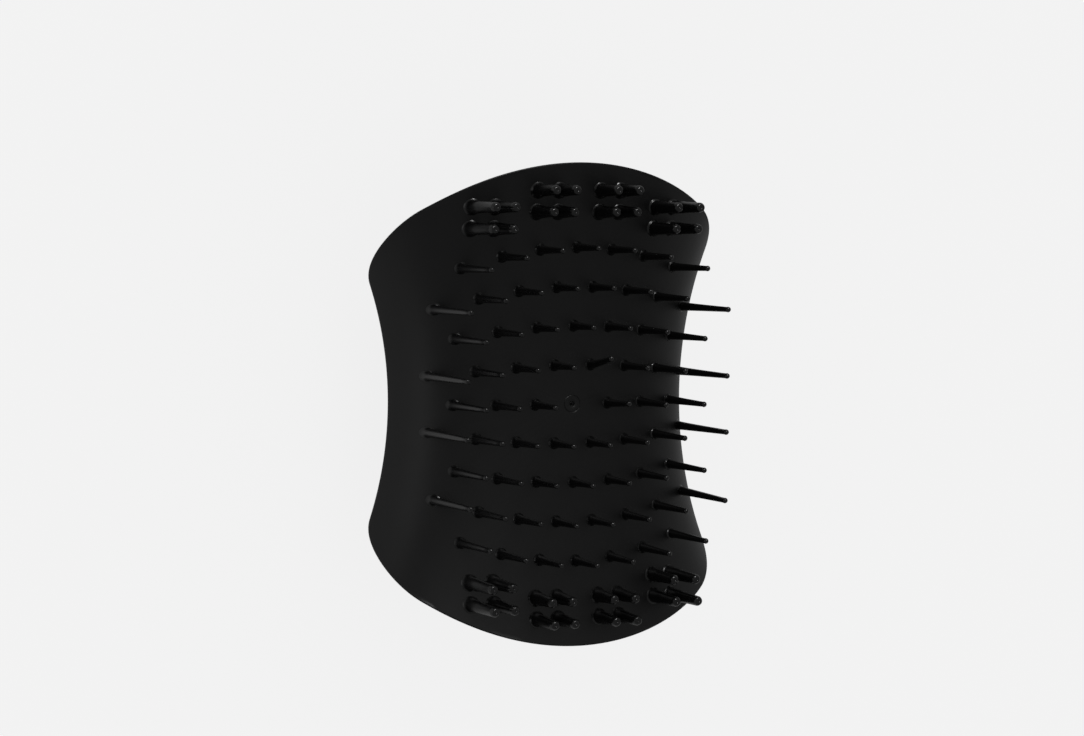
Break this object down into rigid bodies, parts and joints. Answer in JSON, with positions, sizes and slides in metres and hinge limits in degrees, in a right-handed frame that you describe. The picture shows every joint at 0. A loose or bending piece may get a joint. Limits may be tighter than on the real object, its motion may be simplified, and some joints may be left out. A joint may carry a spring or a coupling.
{
  "type": "scalp massager brush",
  "caption": "Palm-held scalp massager: waisted saddle plate with curved rows of fine flexible teeth, stout tooth clusters at both ends, and a rounded palm cover.",
  "frame": {"origin": "middle of the flat resting face on the crown of the palm cover, which is the bottom centre of the object's box", "axes": "+X across the brush, +Y along its length, +Z out through the teeth, which point up when the brush lies on its palm cover"},
  "size_m": [0.0694, 0.0908, 0.0471],
  "materials": {
    "cover_plastic": "black moulded ABS, satin gloss",
    "carrier_plastic": "dark moulded polypropylene, unseen inside",
    "pad_elastomer": "black thermoplastic elastomer, fine satin",
    "fine_tooth_elastomer": "black thermoplastic elastomer, smooth",
    "stout_tooth_elastomer": "black thermoplastic elastomer, smooth"
  },
  "bodies": {
    "root": {"palm_cover": "cover_plastic", "pad_carrier": "carrier_plastic", "tooth_pad": "pad_elastomer", "fine_row_1": "fine_tooth_elastomer", "fine_row_2": "fine_tooth_elastomer", "fine_row_3": "fine_tooth_elastomer", "fine_row_4": "fine_tooth_elastomer", "fine_row_5": "fine_tooth_elastomer", "fine_row_6": "fine_tooth_elastomer", "fine_row_7": "fine_tooth_elastomer", "fine_row_8": "fine_tooth_elastomer", "fine_row_9": "fine_tooth_elastomer", "stout_cluster_front_left_outer": "stout_tooth_elastomer", "stout_cluster_front_left_inner": "stout_tooth_elastomer", "stout_cluster_front_right_outer": "stout_tooth_elastomer", "stout_cluster_front_right_inner": "stout_tooth_elastomer", "stout_cluster_rear_left_outer": "stout_tooth_elastomer", "stout_cluster_rear_left_inner": "stout_tooth_elastomer", "stout_cluster_rear_right_outer": "stout_tooth_elastomer", "stout_cluster_rear_right_inner": "stout_tooth_elastomer"}
  },
  "joints": []
}
